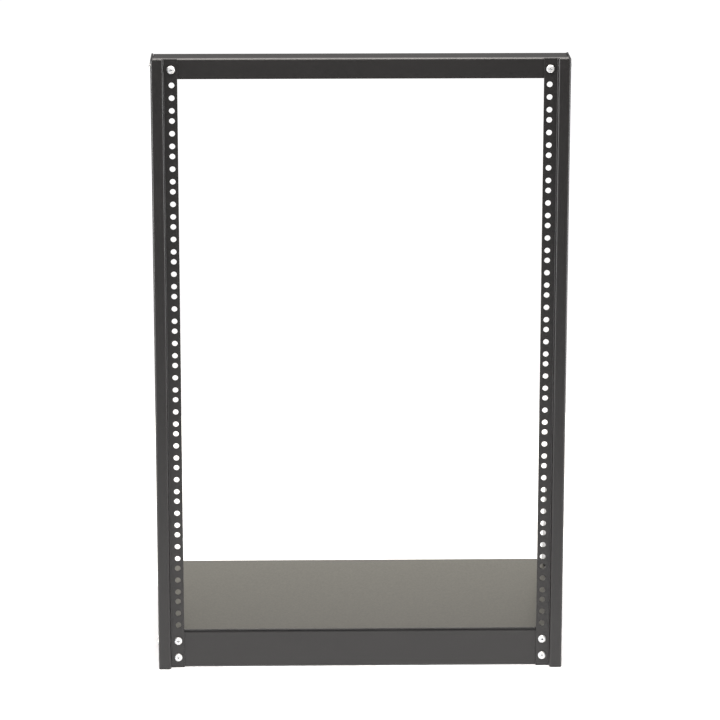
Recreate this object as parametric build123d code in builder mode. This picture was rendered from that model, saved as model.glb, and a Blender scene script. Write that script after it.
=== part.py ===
from build123d import *
import os

# Two post open frame rack for 19 inch equipment, in folded sheet steel.
# X runs across, +Y to the rear, +Z up. The origin is on the floor, under the centre of the rack.

# Rack units
unit_height = 44.45
unit_count = 16
unit_hole_shares = (1 / 7, 1 / 2, 6 / 7)
rail_hole_diameter = 7.14

# Posts, across the rack
opening_width = 450.85
rail_width = 17.0
rail_hole_edge = 7.145
strip_width = 15.75

# Posts, from front to rear
post_sheet = 2.0
strip_step = 8.0
web_top_depth = 53.0
web_base_depth = 350.0

# Crossbar
crossbar_sheet = 2.0
crossbar_gap = 1.0
crossbar_height = 26.0
crossbar_depth = 36.0
crossbar_proud = 0.8
crossbar_tab_width = 16.0
tab_slot = 1.5
rear_end_trim = 0.5

# Base
base_height = 50.8
plate_sheet = 2.0
plate_depth = 287.0
plate_edge_round = 1.0
bar_sheet = 2.0
bar_flange = 20.0

# Folds and fits
fold_inner = 1.0
fit_gap = 0.3

# Screws and nuts
screw_diameter = 4.8
screw_hole_diameter = 5.5
screw_head_diameter = 10.2
screw_head_height = 2.8
screw_head_bevel = 1.2
screw_tail = 1.5
nut_across_flats = 8.0
nut_height = 3.5
nut_bore_gap = 0.05

# Screw places
front_screw_outset = 0.6
head_screw_rise = 13.0
base_screw_rise = 13.6
base_screw_drop = 15.0
side_screw_setback = 23.0
side_screw_rise = 27.5

# Levels
units_top = base_height + unit_count * unit_height
crossbar_top = units_top + crossbar_gap + crossbar_height
post_height = crossbar_top - crossbar_proud
head_screw_z = units_top + head_screw_rise
base_screw_levels = (base_screw_rise, base_height - base_screw_drop)
bar_height = base_height - plate_sheet

# Lines from front to rear
strip_y = -web_base_depth / 2
rail_y = strip_y + strip_step
seat_y = rail_y + post_sheet
web_top_rear_y = strip_y + web_top_depth
web_base_rear_y = strip_y + web_base_depth
plate_rear_y = seat_y + plate_depth
crossbar_rear_y = seat_y + crossbar_depth
side_screw_y = rail_y + side_screw_setback

# Lines across, on the right-hand side
rail_edge_x = opening_width / 2
rail_hole_x = rail_edge_x + rail_hole_edge
front_screw_x = rail_hole_x + front_screw_outset
step_x = rail_edge_x + rail_width
post_x = step_x + strip_width
web_inner_x = post_x - post_sheet
bay_x = web_inner_x - fit_gap


def folded_sheet(plane, points, radii, sheet, side):
    """Section of a folded sheet: a path along one face, thickened to one side."""
    with BuildSketch(plane) as section:
        with BuildLine():
            FilletPolyline(*points, radius=radii)
            offset(amount=sheet, side=side)
        make_face()
    return section.sketch


def fold_outer(sheet):
    """Radius of a fold's outer face."""
    return fold_inner + sheet


def rail_holes():
    """Centres of one rail's holes, as places across and up."""
    tops = [units_top - unit * unit_height for unit in range(unit_count)]
    return [(rail_hole_x, top - share * unit_height) for top in tops for share in unit_hole_shares]


def post_section():
    """The post seen from above at the floor: web, front strip, step and recessed rail flange."""
    outer = fold_outer(post_sheet)
    points = [
        (post_x, web_base_rear_y),
        (post_x, strip_y),
        (step_x, strip_y),
        (step_x, rail_y),
        (rail_edge_x, rail_y),
    ]
    return folded_sheet(Plane.XY, points, (outer, outer, fold_inner), post_sheet, Side.RIGHT)


# Right post: the folded sheet, the web's slanted rear edge, the rail holes and the screw holes
with BuildPart() as right_post:
    extrude(post_section(), amount=post_height)
    with BuildSketch(Plane.YZ.offset(web_inner_x)):
        with BuildLine():
            Polyline(
                (web_top_rear_y, post_height),
                (web_base_rear_y, 0),
                (web_base_rear_y, post_height),
                close=True,
            )
        make_face()
    extrude(amount=post_sheet, mode=Mode.SUBTRACT)
    with BuildSketch(Plane.XZ.offset(-rail_y)):
        with Locations(*rail_holes()):
            Circle(rail_hole_diameter / 2)
        with Locations(*[(front_screw_x, z) for z in (*base_screw_levels, head_screw_z)]):
            Circle(screw_hole_diameter / 2)
    extrude(amount=-post_sheet, mode=Mode.SUBTRACT)
    with BuildSketch(Plane.YZ.offset(web_inner_x)):
        with Locations((side_screw_y, side_screw_rise), (side_screw_y, head_screw_z)):
            Circle(screw_hole_diameter / 2)
    extrude(amount=post_sheet, mode=Mode.SUBTRACT)

# Left post: the mirror image
with BuildPart() as left_post:
    mirror(right_post.part, about=Plane.YZ)


def crossbar_section():
    """The crossbar seen from its end: front flange, top and rear flange."""
    outer = fold_outer(crossbar_sheet)
    points = [
        (seat_y, crossbar_top - crossbar_height),
        (seat_y, crossbar_top),
        (crossbar_rear_y, crossbar_top),
        (crossbar_rear_y, crossbar_top - crossbar_height),
    ]
    return folded_sheet(Plane.YZ, points, (outer, outer), crossbar_sheet, Side.RIGHT)


def crossbar_tab_section():
    """The crossbar's ends seen from the front: the top and the tab folded down at each side."""
    outer = fold_outer(crossbar_sheet)
    points = [
        (-bay_x, crossbar_top - crossbar_height),
        (-bay_x, crossbar_top),
        (bay_x, crossbar_top),
        (bay_x, crossbar_top - crossbar_height),
    ]
    plane = Plane.XZ.offset(-side_screw_y)
    return folded_sheet(plane, points, (outer, outer), crossbar_sheet, Side.RIGHT)


# Top crossbar: the folded channel, its ends trimmed and slotted round the tabs that close them
with BuildPart() as top_crossbar:
    extrude(crossbar_section(), amount=bay_x, both=True)
    tab_rear_y = side_screw_y + crossbar_tab_width / 2
    slot_depth = fold_outer(crossbar_sheet)
    with BuildSketch(Plane.XY.offset(crossbar_top)):
        for end_x, align_x in ((bay_x, Align.MAX), (-bay_x, Align.MIN)):
            with Locations((end_x, side_screw_y)):
                Rectangle(slot_depth, crossbar_tab_width + 2 * tab_slot, align=(align_x, Align.CENTER))
            with Locations((end_x, tab_rear_y)):
                Rectangle(rear_end_trim, crossbar_rear_y - tab_rear_y, align=(align_x, Align.MIN))
    extrude(amount=-crossbar_height, mode=Mode.SUBTRACT)
    extrude(crossbar_tab_section(), amount=crossbar_tab_width / 2, both=True)
    with BuildSketch(Plane.XZ.offset(-seat_y)):
        with Locations((-front_screw_x, head_screw_z), (front_screw_x, head_screw_z)):
            Circle(screw_hole_diameter / 2)
    extrude(amount=-crossbar_sheet, mode=Mode.SUBTRACT)
    with BuildSketch(Plane.YZ):
        with Locations((side_screw_y, head_screw_z)):
            Circle(screw_hole_diameter / 2)
    extrude(amount=bay_x, both=True, mode=Mode.SUBTRACT)


def front_bar_section():
    """The front bar seen from its end: floor flange, face and the flange under the plate."""
    outer = fold_outer(bar_sheet)
    points = [
        (seat_y + bar_flange, 0),
        (seat_y, 0),
        (seat_y, bar_height),
        (seat_y + bar_flange, bar_height),
    ]
    return folded_sheet(Plane.YZ, points, (outer, outer), bar_sheet, Side.RIGHT)


# Front bar: a channel between the plate's sides, with a face that runs on to the webs
with BuildPart() as base_front_bar:
    extrude(front_bar_section(), amount=bay_x - fold_outer(plate_sheet), both=True)
    with BuildSketch(Plane.XZ.offset(-seat_y)):
        with Locations((0, bar_height / 2)):
            Rectangle(2 * bay_x, bar_height - 2 * fold_outer(bar_sheet))
    extrude(amount=-bar_sheet)
    with BuildSketch(Plane.XZ.offset(-seat_y)):
        with Locations(*[(x, z) for x in (-front_screw_x, front_screw_x) for z in base_screw_levels]):
            Circle(screw_hole_diameter / 2)
    extrude(amount=-bar_sheet, mode=Mode.SUBTRACT)


def plate_section(plane):
    """The base plate seen from the front: the flat top and the sides folded down to the floor."""
    outer = fold_outer(plate_sheet)
    points = [(-bay_x, 0), (-bay_x, base_height), (bay_x, base_height), (bay_x, 0)]
    return folded_sheet(plane, points, (outer, outer), plate_sheet, Side.RIGHT)


def plate_rear_section():
    """The base plate's rear fold seen from its end."""
    outer = fold_outer(plate_sheet)
    points = [
        (plate_rear_y - 3 * outer, base_height),
        (plate_rear_y, base_height),
        (plate_rear_y, 0),
    ]
    return folded_sheet(Plane.YZ, points, (outer,), plate_sheet, Side.RIGHT)


# Base plate: a pan with its top and sides in one fold, its rear flange, and a front edge over the bar
with BuildPart() as base_plate:
    side_front_y = seat_y + bar_sheet + fit_gap
    side_rear_y = plate_rear_y - fold_outer(plate_sheet)
    top_half_x = bay_x - fold_outer(plate_sheet)
    extrude(plate_section(Plane.XZ.offset(-side_front_y)), amount=side_front_y - side_rear_y)
    extrude(plate_rear_section(), amount=top_half_x, both=True)
    with BuildSketch(Plane.XY.offset(base_height)):
        with Locations((0, seat_y)):
            Rectangle(2 * top_half_x, 2 * (side_front_y - seat_y), align=(Align.CENTER, Align.MIN))
    extrude(amount=-plate_sheet)
    front_edges = base_plate.edges().filter_by(Axis.X).group_by(Axis.Y)[0]
    fillet(front_edges.sort_by(Axis.Z)[-1], radius=plate_edge_round)
    with BuildSketch(Plane.YZ):
        with Locations((side_screw_y, side_screw_rise)):
            Circle(screw_hole_diameter / 2)
    extrude(amount=bay_x, both=True, mode=Mode.SUBTRACT)


def pan_head_screw(seat, grip):
    """A screw whose head sits on the seat plane and whose shank runs back through the grip."""
    shank_length = grip + nut_height + screw_tail
    with BuildPart(seat) as screw:
        Cylinder(screw_diameter / 2, shank_length, align=(Align.CENTER, Align.CENTER, Align.MAX))
        Cylinder(screw_head_diameter / 2, screw_head_height, align=(Align.CENTER, Align.CENTER, Align.MIN))
        outer_face = screw.faces().filter_by(GeomType.PLANE).sort_by(seat_axis(seat))[-1]
        chamfer(outer_face.edges(), length=screw_head_bevel)
    return screw.part


def seat_axis(seat):
    """The line along a screw, pointing out of its head."""
    return Axis(seat.origin, seat.z_dir)


def hexagon_nut(seat, grip):
    """A nut on the far side of the grip."""
    with BuildPart(seat.offset(-grip)) as nut:
        with BuildSketch(seat.offset(-grip)):
            RegularPolygon(nut_across_flats / 2, side_count=6, major_radius=False)
            Circle(screw_diameter / 2 + nut_bore_gap, mode=Mode.SUBTRACT)
        extrude(amount=-nut_height)
    return nut.part


def front_seat(side, z):
    """Where a screw's head sits on a rail flange."""
    return Plane(origin=(side * front_screw_x, rail_y, z), x_dir=(1, 0, 0), z_dir=(0, -1, 0))


def side_seat(side, z):
    """Where a screw's head sits on a web."""
    return Plane(origin=(side * post_x, side_screw_y, z), x_dir=(0, 1, 0), z_dir=(side, 0, 0))


# Screws and nuts: each place has its seat and the thickness of the sheets that it clamps
fixings = {}
for side_name, side in (("left", -1), ("right", 1)):
    lower_z, upper_z = base_screw_levels
    fixings[f"{side_name}_top_front"] = (front_seat(side, head_screw_z), post_sheet + crossbar_sheet)
    fixings[f"{side_name}_base_upper"] = (front_seat(side, upper_z), post_sheet + bar_sheet)
    fixings[f"{side_name}_base_lower"] = (front_seat(side, lower_z), post_sheet + bar_sheet)
    fixings[f"{side_name}_top_side"] = (
        side_seat(side, head_screw_z),
        post_sheet + fit_gap + crossbar_sheet,
    )
    fixings[f"{side_name}_base_side"] = (
        side_seat(side, side_screw_rise),
        post_sheet + fit_gap + plate_sheet,
    )

# One STEP file for each piece
right_post.part.label = "right_post"
left_post.part.label = "left_post"
top_crossbar.part.label = "top_crossbar"
base_front_bar.part.label = "base_front_bar"
base_plate.part.label = "base_plate"

os.makedirs("parts", exist_ok=True)
export_step(right_post.part, "parts/right_post.step")
export_step(left_post.part, "parts/left_post.step")
export_step(top_crossbar.part, "parts/top_crossbar.step")
export_step(base_front_bar.part, "parts/base_front_bar.step")
export_step(base_plate.part, "parts/base_plate.step")

for place, (seat, grip) in fixings.items():
    for kind, piece in (("screw", pan_head_screw(seat, grip)), ("nut", hexagon_nut(seat, grip))):
        piece.label = f"{place}_{kind}"
        export_step(piece, f"parts/{piece.label}.step")
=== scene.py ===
import bmesh
import bpy
import math
from mathutils import Matrix, Vector


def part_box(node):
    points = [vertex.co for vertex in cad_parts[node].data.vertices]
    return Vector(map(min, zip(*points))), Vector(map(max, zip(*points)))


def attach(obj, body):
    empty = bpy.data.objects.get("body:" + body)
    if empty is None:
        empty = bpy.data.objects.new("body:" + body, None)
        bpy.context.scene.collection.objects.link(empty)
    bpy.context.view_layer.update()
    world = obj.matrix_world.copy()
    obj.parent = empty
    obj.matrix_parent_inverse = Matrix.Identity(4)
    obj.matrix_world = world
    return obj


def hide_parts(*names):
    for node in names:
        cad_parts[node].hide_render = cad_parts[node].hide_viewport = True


# Two post open frame rack in black powder coat with bright zinc screws, on a plain pale floor.
# Lengths are in metres.

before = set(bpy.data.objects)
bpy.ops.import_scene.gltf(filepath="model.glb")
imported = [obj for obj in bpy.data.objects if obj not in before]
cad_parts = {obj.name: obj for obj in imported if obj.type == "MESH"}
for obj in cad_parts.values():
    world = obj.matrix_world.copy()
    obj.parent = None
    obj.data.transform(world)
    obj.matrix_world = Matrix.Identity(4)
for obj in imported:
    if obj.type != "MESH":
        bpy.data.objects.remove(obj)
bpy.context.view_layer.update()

# Camera, as fitted to the rail holes of the photograph
RAIL_FACE_Y = -0.167
TOP_UNIT_Z = 0.762
CAMERA_SIDE = -0.0912
CAMERA_DISTANCE = 4.1697
CAMERA_RISE = 0.7304
CAMERA_PITCH = 0.254747
CAMERA_YAW = 0.021692
CAMERA_ROLL = 0.000857
SENSOR_WIDTH = 36.0
LENS = 171.75
FAR_CLIP = 100

# Screw heads: a foot that is turned off, a straight side, a round shoulder and a low crown
HEAD_HEIGHT = 0.0028
HEAD_FOOT_SHARE = 0.985
HEAD_FOOT_HEIGHT = 0.00015
HEAD_SIDE = 0.00086
HEAD_SHOULDER = 0.00245
HEAD_FACE_SHARE = 0.62
SHOULDER_STEPS = 6
TURN_STEPS = 48

# Cross recess, with the share of its width and reach that is left at the bottom
RECESS_WIDTH = 0.0012
RECESS_REACH = 0.0024
RECESS_DEPTH = 0.0018
RECESS_WIDTH_LEFT = 0.6
RECESS_REACH_LEFT = 0.45

# Shank and thread, with the turns over which the thread rises at the tip
SHANK_RADIUS = 0.0024
THREAD_PITCH = 0.00079
THREAD_DEPTH = 0.00045
THREAD_COLUMNS = 24
THREAD_ROWS = 6
THREAD_LEAD = 2

# Nuts: the bore, and how far the corners are turned off
BORE_RADIUS = 0.00245
FACE_RING_SHARE = 0.94
CORNER_DROP = 0.000768
CUT_MARGIN = 0.001
WELD_REACH = 0.000004

# Angles in degrees above which an edge stays sharp
SCREW_SHARP = 35
NUT_SHARP = 25

# Noises, as cells for each metre and detail, and the middle of a noise's range
COAT_CLOUD = (9, 2)
COAT_PEEL = (420, 2)
COAT_GRAIN = (1500, 3)
ZINC_CAST = (260, 2)
ZINC_MARKS = (2600, 4)
NOISE_MIDDLE = (0.3, 0.7)
COLOUR_STOPS = (0.35, 0.65)

# Powder coat
COAT_LOW = (0.0058, 0.0053, 0.0052)
COAT_HIGH = (0.0070, 0.0064, 0.0063)
COAT_ROUGHNESS = (0.32, 0.38)
COAT_IOR = 1.44
PEEL_HEIGHT = 0.0000012
GRAIN_HEIGHT = 0.0000008
EDGE_ROUND = 0.0004
EDGE_SAMPLES = 6

# Zinc
ZINC_COOL = (0.515, 0.53, 0.55)
ZINC_WARM = (0.565, 0.557, 0.54)
ZINC_ROUGHNESS = (0.46, 0.56)
MARK_HEIGHT = 0.00001

# What the lamps face, as across the rack, behind the rails' face and above the floor
MIDDLE = (0, 0.04, 0.4)
CROSSBAR = (0, 0.0, 0.78)
INSIDE = (0, 0.04, 0.25)
OVER_PLATE = (0, 0.14, 0.2)

# Lamps: place, target, width, height, power and colour
PLAIN = (1, 1, 1)
OVERHEAD_COLOUR = (1.0, 0.94, 0.965)
STRIP_COLOUR = (1.0, 0.96, 0.9)
BACKDROP_COLOUR = (1.0, 0.945, 0.79)
LAMPS = {
    "overhead": ((0, -0.16, 2.4), MIDDLE, 2.4, 1.4, 50.0, OVERHEAD_COLOUR),
    "front_high": ((0, -2.06, 2.5), MIDDLE, 2.0, 1.0, 4.0, PLAIN),
    "top_strip": ((0, -0.33, 1.42), CROSSBAR, 1.1, 0.35, 21.0, STRIP_COLOUR),
    "rear_strip": ((0, 0.35, 1.5), CROSSBAR, 1.1, 0.35, 4.5, STRIP_COLOUR),
    "left_side": ((-1.5, -0.6, 0.38), INSIDE, 0.5, 0.6, 19.0, PLAIN),
    "right_side": ((1.5, -0.36, 0.38), INSIDE, 0.5, 0.6, 16.0, PLAIN),
    "backdrop": ((0, 1.2, 0.28), OVER_PLATE, 0.9, 0.5, 2.2, BACKDROP_COLOUR),
}

# The studio that lights the object, and the white one that its gloss shows
WORLD_LEVEL = 0.03
ROOM_FRONT = 1.0
ROOM_REAR = 1.0
ROOM_REAR_LOW = 0.19
REAR_RISE = (0.19, 0.7)
FRONT_TO_REAR = (-0.5, 0.5)

# The floor, and its glow for the camera and for the gloss, near the object and far from it, with the reach of
# the painted contact shade that dims its glow for the camera
FLOOR_SIZE = 40
FLOOR_DROP = 0.0002
FLOOR_COLOUR = (0.82, 0.82, 0.82, 1)
FLOOR_ROUGHNESS = 0.9
FLOOR_NEAR = 0.8
FLOOR_FAR = 3.0
FLOOR_LIFT_NEAR = 0.4
FLOOR_LIFT_FAR = 1.0
FLOOR_GLOSS_NEAR = 0.9
FLOOR_GLOSS_FAR = 0.15
CONTACT_REACH = 0.03
CONTACT_SAMPLES = 8

UNIT = (0.0, 1.0)
WHITE = (1, 1, 1, 1)

SIDES = ("left", "right")
FRONT_PLACES = ("top_front", "base_upper", "base_lower")
SIDE_PLACES = ("top_side", "base_side")
SHEET_NODES = ("left_post", "right_post", "top_crossbar", "base_front_bar", "base_plate")


# Nodes

def mapped(tree, value, limits, results, smoothly=False):
    """A value taken from one range to another."""
    node = tree.nodes.new("ShaderNodeMapRange")
    node.interpolation_type = "SMOOTHSTEP" if smoothly else "LINEAR"
    node.inputs["From Min"].default_value = limits[0]
    node.inputs["From Max"].default_value = limits[1]
    node.inputs["To Min"].default_value = results[0]
    node.inputs["To Max"].default_value = results[1]
    tree.links.new(value, node.inputs["Value"])
    return node.outputs["Result"]


def arithmetic(tree, operation, first, second):
    """Two values put together."""
    node = tree.nodes.new("ShaderNodeMath")
    node.operation = operation
    tree.links.new(first, node.inputs[0])
    tree.links.new(second, node.inputs[1])
    return node.outputs[0]


def choose(tree, factor, low, high):
    """One of two grey levels, or a mix of them, where each is a number or a value in the tree."""
    node = tree.nodes.new("ShaderNodeMix")
    tree.links.new(factor, node.inputs["Factor"])
    for socket, level in (("A", low), ("B", high)):
        if isinstance(level, float):
            node.inputs[socket].default_value = level
        else:
            tree.links.new(level, node.inputs[socket])
    return node.outputs["Result"]


def gloss_ray(tree, path):
    """1 on a ray from gloss or through glass, and else 0."""
    return arithmetic(tree, "ADD", path.outputs["Is Glossy Ray"], path.outputs["Is Transmission Ray"])


def noise(tree, place, kind):
    """A noise texture's value, for a kind of noise given as its scale and detail."""
    texture = tree.nodes.new("ShaderNodeTexNoise")
    texture.inputs["Scale"].default_value = kind[0]
    texture.inputs["Detail"].default_value = kind[1]
    tree.links.new(place, texture.inputs["Vector"])
    return texture.outputs["Fac"]


def blend_colours(tree, value, low, high):
    """A colour that goes from low to high with a noise."""
    ramp = tree.nodes.new("ShaderNodeValToRGB")
    for element, stop, colour in zip(ramp.color_ramp.elements, COLOUR_STOPS, (low, high)):
        element.position = stop
        element.color = (*colour, 1)
    tree.links.new(value, ramp.inputs["Fac"])
    return ramp.outputs["Color"]


def bump(tree, value, height, under=None):
    """A bump of this height in metres, on top of another one if it is given."""
    node = tree.nodes.new("ShaderNodeBump")
    node.inputs["Strength"].default_value = 1.0
    node.inputs["Distance"].default_value = height
    tree.links.new(value, node.inputs["Height"])
    if under:
        tree.links.new(under, node.inputs["Normal"])
    return node.outputs["Normal"]


# Materials

def new_material(name):
    """A node material, with its Principled shader and its object coordinates."""
    material = bpy.data.materials.new(name)
    material.use_nodes = True
    nodes = material.node_tree.nodes
    shader = nodes["Principled BSDF"]
    place = nodes.new("ShaderNodeTexCoord").outputs["Object"]
    return material, shader, place


def powder_coat():
    """Satin black powder coat: a fine peel on softened edges, in a nearly even black."""
    material, shader, place = new_material("black_powder_coat_finish")
    tree = material.node_tree
    cloud = noise(tree, place, COAT_CLOUD)
    peel = noise(tree, place, COAT_PEEL)
    grain = noise(tree, place, COAT_GRAIN)
    tree.links.new(blend_colours(tree, cloud, COAT_LOW, COAT_HIGH), shader.inputs["Base Color"])
    tree.links.new(mapped(tree, peel, NOISE_MIDDLE, COAT_ROUGHNESS), shader.inputs["Roughness"])
    shader.inputs["IOR"].default_value = COAT_IOR
    edges = tree.nodes.new("ShaderNodeBevel")
    edges.samples = EDGE_SAMPLES
    edges.inputs["Radius"].default_value = EDGE_ROUND
    relief = bump(tree, peel, PEEL_HEIGHT, under=edges.outputs["Normal"])
    relief = bump(tree, grain, GRAIN_HEIGHT, under=relief)
    tree.links.new(relief, shader.inputs["Normal"])
    return material


def zinc():
    """Bright zinc plate with a faint blue and yellow cast and fine marks."""
    material, shader, place = new_material("bright_zinc_finish")
    tree = material.node_tree
    cast = noise(tree, place, ZINC_CAST)
    marks = noise(tree, place, ZINC_MARKS)
    tree.links.new(blend_colours(tree, cast, ZINC_COOL, ZINC_WARM), shader.inputs["Base Color"])
    shader.inputs["Metallic"].default_value = 1.0
    tree.links.new(mapped(tree, marks, NOISE_MIDDLE, ZINC_ROUGHNESS), shader.inputs["Roughness"])
    tree.links.new(bump(tree, marks, MARK_HEIGHT), shader.inputs["Normal"])
    return material


# Meshes

def mesh_object(name, mesh_data):
    """A linked object that holds a finished bmesh."""
    mesh = bpy.data.meshes.new(name)
    mesh_data.to_mesh(mesh)
    mesh_data.free()
    piece = bpy.data.objects.new(name, mesh)
    bpy.context.scene.collection.objects.link(piece)
    return piece


def revolved(profile):
    """A closed solid turned about Z from a profile of radius and height, from its lower to its upper pole."""
    form = bmesh.new()
    bottom = form.verts.new((0, 0, profile[0][1]))
    top = form.verts.new((0, 0, profile[-1][1]))
    rings = []
    for radius, height in profile[1:-1]:
        ring = []
        for step in range(TURN_STEPS):
            angle = 2 * math.pi * step / TURN_STEPS
            ring.append(form.verts.new((radius * math.cos(angle), radius * math.sin(angle), height)))
        rings.append(ring)
    for step in range(TURN_STEPS):
        after = (step + 1) % TURN_STEPS
        form.faces.new((bottom, rings[0][after], rings[0][step]))
        form.faces.new((top, rings[-1][step], rings[-1][after]))
        for lower, upper in zip(rings, rings[1:]):
            form.faces.new((lower[step], lower[after], upper[after], upper[step]))
    return form


def hexagon(radius, low, high):
    """A hexagonal prism between two heights."""
    form = bmesh.new()
    angles = [math.radians(60 * step) for step in range(6)]
    corners = [(radius * math.cos(angle), radius * math.sin(angle)) for angle in angles]
    lower = [form.verts.new((x, y, low)) for x, y in corners]
    upper = [form.verts.new((x, y, high)) for x, y in corners]
    form.faces.new(list(reversed(lower)))
    form.faces.new(upper)
    for step in range(6):
        after = (step + 1) % 6
        form.faces.new((lower[step], lower[after], upper[after], upper[step]))
    return form


def apply_modifiers(piece):
    """Writes a piece's modifiers into its mesh."""
    evaluated = piece.evaluated_get(bpy.context.evaluated_depsgraph_get())
    finished = bpy.data.meshes.new_from_object(evaluated)
    piece.modifiers.clear()
    piece.data = finished


def weld(piece):
    """Merges a piece's touching points and takes out the faces that a boolean left without area."""
    form = bmesh.new()
    form.from_mesh(piece.data)
    bmesh.ops.remove_doubles(form, verts=form.verts, dist=WELD_REACH)
    bmesh.ops.dissolve_degenerate(form, edges=form.edges, dist=WELD_REACH)
    form.to_mesh(piece.data)
    form.free()


def cut(piece, cutter, operation="DIFFERENCE"):
    """Applies a boolean to a piece and removes the cutter."""
    modifier = piece.modifiers.new("cut", "BOOLEAN")
    modifier.operation = operation
    modifier.solver = "EXACT"
    modifier.use_self = True
    modifier.object = cutter
    apply_modifiers(piece)
    weld(piece)
    bpy.data.objects.remove(cutter)


def join(piece, other):
    """Moves another object's mesh into a piece."""
    form = bmesh.new()
    form.from_mesh(piece.data)
    form.from_mesh(other.data)
    form.to_mesh(piece.data)
    form.free()
    bpy.data.objects.remove(other)


def smooth(piece, angle):
    """Smooth faces with sharp edges above an angle."""
    for face in piece.data.polygons:
        face.use_smooth = True
    piece.data.set_sharp_from_angle(angle=math.radians(angle))


def seat(piece, centre, outward):
    """Turns a piece's +Z to the outward direction and puts it in place."""
    turn = Vector((0, 0, 1)).rotation_difference(outward).to_matrix().to_4x4()
    piece.matrix_world = Matrix.Translation(centre) @ turn


# Screws and nuts

def head_profile(radius):
    """A pan head: a short straight side, a round shoulder and a low crown."""
    face = radius * HEAD_FACE_SHARE
    points = [(0, 0), (radius * HEAD_FOOT_SHARE, 0), (radius, HEAD_FOOT_HEIGHT)]
    for step in range(SHOULDER_STEPS + 1):
        angle = math.radians(90 / SHOULDER_STEPS * step)
        points.append((
            face + (radius - face) * math.cos(angle),
            HEAD_SIDE + (HEAD_SHOULDER - HEAD_SIDE) * math.sin(angle),
        ))
    points.append((face / 2, HEAD_HEIGHT - (HEAD_HEIGHT - HEAD_SHOULDER) / 4))
    points.append((0, HEAD_HEIGHT))
    return points


def cross_recess():
    """The tapered cross that is cut into a head."""
    form = bmesh.new()
    for turn in (0, math.pi / 2):
        wing = bmesh.ops.create_cube(form, size=1)["verts"]
        for vert in wing:
            deep = vert.co.z < 0
            vert.co.x *= 2 * RECESS_REACH * (RECESS_REACH_LEFT if deep else 1.0)
            vert.co.y *= RECESS_WIDTH * (RECESS_WIDTH_LEFT if deep else 1.0)
            vert.co.z = HEAD_HEIGHT - RECESS_DEPTH if deep else HEAD_HEIGHT + RECESS_DEPTH
        bmesh.ops.rotate(form, verts=wing, matrix=Matrix.Rotation(turn, 3, "Z"))
    return mesh_object("recess_cutter", form)


def thread_ring(form, radius, height, lead):
    """One ring of points on a helical thread, which stands out by a share between 0 and 1."""
    ring = []
    for column in range(THREAD_COLUMNS):
        turn = column / THREAD_COLUMNS
        phase = (height / THREAD_PITCH - turn) % 1.0
        crest = 1.0 - abs(2.0 * phase - 1.0)
        reach = radius - THREAD_DEPTH * (1.0 - crest * lead)
        angle = 2 * math.pi * turn
        ring.append(form.verts.new((reach * math.cos(angle), reach * math.sin(angle), height)))
    return ring


def threaded_shank(radius, length):
    """A shank with a real helical thread, from its tip up to the head."""
    form = bmesh.new()
    rows = int(length / THREAD_PITCH * THREAD_ROWS)
    rings = []
    for row in range(rows + 1):
        height = -length + length * row / rows
        lead = min(1.0, (height + length) / (THREAD_LEAD * THREAD_PITCH))
        rings.append(thread_ring(form, radius, height, lead))
    for lower, upper in zip(rings, rings[1:]):
        for column in range(THREAD_COLUMNS):
            after = (column + 1) % THREAD_COLUMNS
            form.faces.new((lower[column], lower[after], upper[after], upper[column]))
    form.faces.new(list(reversed(rings[0])))
    form.faces.new(rings[-1])
    return form


def outward_of(side, place):
    """The direction in which a screw's head points."""
    if place in FRONT_PLACES:
        return Vector((0, -1, 0))
    return Vector((-1 if side == "left" else 1, 0, 0))


def measures(node, outward):
    """A node's centre, its half length along the outward direction and its two widths across it."""
    low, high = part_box(node)
    size = high - low
    along = abs(size.dot(outward))
    across = [size[i] for i in range(3) if abs(outward[i]) < 0.5]
    return (low + high) / 2, along / 2, min(across), max(across)


def make_screw(side, place, finish):
    """One pan head screw in the place of its CAD node."""
    node = f"{side}_{place}_screw"
    outward = outward_of(side, place)
    centre, half_length, width, _ = measures(node, outward)
    head = mesh_object(node + "_piece", revolved(head_profile(width / 2)))
    cut(head, cross_recess())
    shank = mesh_object("shank", threaded_shank(SHANK_RADIUS, 2 * half_length - HEAD_HEIGHT))
    join(head, shank)
    smooth(head, SCREW_SHARP)
    seat(head, centre + outward * (half_length - HEAD_HEIGHT), outward)
    finish_piece(head, node, finish)


def make_nut(side, place, finish):
    """One hexagon nut, with its corners turned off at both ends, in the place of its CAD node."""
    node = f"{side}_{place}_nut"
    outward = outward_of(side, place)
    centre, half_height, flats, corners = measures(node, outward)
    tall = half_height + CUT_MARGIN
    nut = mesh_object(node + "_piece", hexagon(corners / 2, -tall, tall))
    ring = flats / 2 * FACE_RING_SHARE
    beyond = corners / 2 + CUT_MARGIN
    turned = revolved([
        (0, -half_height),
        (ring, -half_height),
        (beyond, -half_height + CORNER_DROP),
        (beyond, half_height - CORNER_DROP),
        (ring, half_height),
        (0, half_height),
    ])
    cut(nut, mesh_object("turned", turned), "INTERSECT")
    bore = revolved([(0, -tall), (BORE_RADIUS, -tall), (BORE_RADIUS, tall), (0, tall)])
    cut(nut, mesh_object("bore", bore))
    smooth(nut, NUT_SHARP)
    seat(nut, centre, outward)
    finish_piece(nut, node, finish)


def finish_piece(piece, node, finish):
    """Gives a piece its finish and lets it stand for its CAD node."""
    piece.data.materials.clear()
    piece.data.materials.append(finish)
    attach(piece, "root")
    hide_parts(node)


def dress_sheets(finish):
    """Puts the powder coat on the folded sheets."""
    for name in SHEET_NODES:
        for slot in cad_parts[name].material_slots:
            slot.material = finish


# Stage, lights and camera

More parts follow.
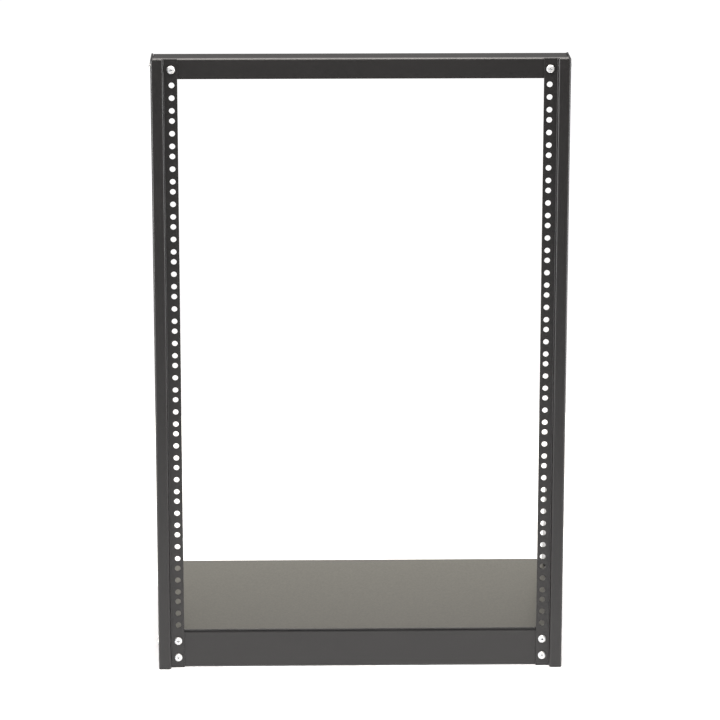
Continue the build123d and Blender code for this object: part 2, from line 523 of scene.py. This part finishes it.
def floor_glow(tree, place):
    """The floor's own light: white to the camera but for a painted contact shade, where ambient occlusion
    dims the glow, and a painted glow in the gloss that is brightest near the object and falls off away from
    it.
    """
    length = tree.nodes.new("ShaderNodeVectorMath")
    length.operation = "LENGTH"
    tree.links.new(place, length.inputs[0])
    reach = (FLOOR_NEAR, FLOOR_FAR)
    lift = mapped(tree, length.outputs["Value"], reach, (FLOOR_LIFT_NEAR, FLOOR_LIFT_FAR))
    gloss = mapped(tree, length.outputs["Value"], reach, (FLOOR_GLOSS_NEAR, FLOOR_GLOSS_FAR))
    path = tree.nodes.new("ShaderNodeLightPath")
    painted_contact_shade = tree.nodes.new("ShaderNodeAmbientOcclusion")
    painted_contact_shade.samples = CONTACT_SAMPLES
    painted_contact_shade.inputs["Distance"].default_value = CONTACT_REACH
    # Painted contact shade: ambient occlusion darkens the floor's glow for the camera where the floor meets
    # the object
    lift = arithmetic(tree, "MULTIPLY", lift, painted_contact_shade.outputs["AO"])
    seen = arithmetic(tree, "MULTIPLY", lift, path.outputs["Is Camera Ray"])
    # Painted glow for gloss rays, brighter near the object than far from it
    shown = arithmetic(tree, "MULTIPLY", gloss, gloss_ray(tree, path))
    return arithmetic(tree, "ADD", seen, shown)


def stage_floor():
    """A wide pale floor that is white to the camera and keeps the soft shadow from the lamps, with a painted
    contact shade that makes it darkest at the contact.
    """
    bpy.ops.mesh.primitive_plane_add(size=FLOOR_SIZE, location=(0, 0, -FLOOR_DROP))
    floor = bpy.context.object
    floor.name = "floor"
    material, shader, place = new_material("pale_floor")
    tree = material.node_tree
    shader.inputs["Base Color"].default_value = FLOOR_COLOUR
    shader.inputs["Roughness"].default_value = FLOOR_ROUGHNESS
    shader.inputs["Specular IOR Level"].default_value = 0.0
    shader.inputs["Emission Color"].default_value = WHITE
    tree.links.new(floor_glow(tree, place), shader.inputs["Emission Strength"])
    floor.data.materials.append(material)


def studio_world():
    """A plain studio: white to the camera and in the gloss, where only the rear wall's foot is dim."""
    world = bpy.data.worlds.new("studio")
    bpy.context.scene.world = world
    world.use_nodes = True
    tree = world.node_tree
    way = tree.nodes.new("ShaderNodeSeparateXYZ")
    tree.links.new(tree.nodes.new("ShaderNodeTexCoord").outputs["Generated"], way.inputs[0])
    path = tree.nodes.new("ShaderNodeLightPath")
    height = mapped(tree, way.outputs["Z"], REAR_RISE, UNIT, smoothly=True)
    rear = choose(tree, height, ROOM_REAR_LOW, ROOM_REAR)
    behind = mapped(tree, way.outputs["Y"], FRONT_TO_REAR, UNIT, smoothly=True)
    room = choose(tree, behind, ROOM_FRONT, rear)
    lit = choose(tree, gloss_ray(tree, path), WORLD_LEVEL, room)
    level = choose(tree, path.outputs["Is Camera Ray"], lit, 1.0)
    tree.links.new(level, tree.nodes["Background"].inputs["Strength"])
    tree.nodes["Background"].inputs["Color"].default_value = WHITE


def from_rail(place):
    """A place given across the rack, behind the rails' face and above the floor."""
    side, back, height = place
    return side, RAIL_FACE_Y + back, height


def area_light(name, place, target, width, height, power, colour):
    """A rectangular lamp that faces its target and isn't seen itself."""
    lamp = bpy.data.lights.new(name, "AREA")
    lamp.shape = "RECTANGLE"
    lamp.size = width
    lamp.size_y = height
    lamp.energy = power
    lamp.color = colour
    light = bpy.data.objects.new(name, lamp)
    place, target = Vector(from_rail(place)), Vector(from_rail(target))
    light.location = place
    light.rotation_euler = (target - place).to_track_quat("-Z", "Y").to_euler()
    light.visible_camera = False
    bpy.context.scene.collection.objects.link(light)


def photo_camera():
    """The camera at the photograph's place and angle."""
    data = bpy.data.cameras.new("camera")
    data.sensor_width = SENSOR_WIDTH
    data.lens = LENS
    data.clip_end = FAR_CLIP
    camera = bpy.data.objects.new("camera", data)
    turn = Matrix.Rotation(-CAMERA_YAW, 4, "Z") @ Matrix.Rotation(math.pi / 2 - CAMERA_PITCH, 4, "X")
    turn = turn @ Matrix.Rotation(CAMERA_ROLL, 4, "Z")
    place = (CAMERA_SIDE, RAIL_FACE_Y - CAMERA_DISTANCE, TOP_UNIT_Z + CAMERA_RISE)
    camera.matrix_world = Matrix.Translation(place) @ turn
    bpy.context.scene.collection.objects.link(camera)
    bpy.context.scene.camera = camera


def build():
    """Dresses the frame, then sets the stage."""
    dress_sheets(powder_coat())
    bright = zinc()
    for side in SIDES:
        for place in FRONT_PLACES + SIDE_PLACES:
            make_screw(side, place, bright)
            make_nut(side, place, bright)
    stage_floor()
    studio_world()
    for name, setting in LAMPS.items():
        area_light(name, *setting)
    photo_camera()
    bpy.context.scene.view_settings.view_transform = "Standard"


build()
